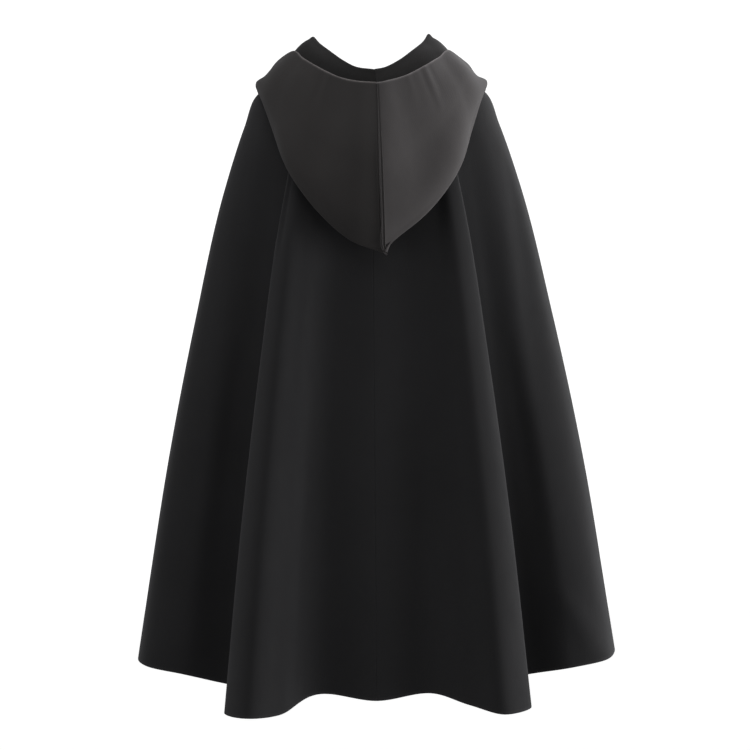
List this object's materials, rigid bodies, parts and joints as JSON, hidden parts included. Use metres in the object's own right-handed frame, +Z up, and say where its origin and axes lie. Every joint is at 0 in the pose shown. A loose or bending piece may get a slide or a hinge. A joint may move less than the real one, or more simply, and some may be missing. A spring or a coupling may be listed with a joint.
{
  "type": "hooded wool cape coat",
  "caption": "Black wool cape coat with its hood down, open and hollow as it hangs from the shoulders, full length to the knee with soft flutes in the hem.",
  "frame": {"origin": "centre of the neck seam, level with its side points, where the neck and shoulders carry the coat", "axes": "+Z up, the front faces -Y, the left side is +X"},
  "size_m": [0.7164, 0.3904, 0.9886],
  "materials": {
    "coat_wool": "matt brushed wool with a short nap",
    "hood_wool": "matt brushed wool with a short nap, a shade warmer",
    "button_horn": "satin black horn"
  },
  "bodies": {
    "root": {"back_left": "coat_wool", "back_right": "coat_wool", "front_left": "coat_wool", "front_right": "coat_wool", "hood_left": "hood_wool", "hood_right": "hood_wool", "button": "button_horn"}
  },
  "joints": []
}
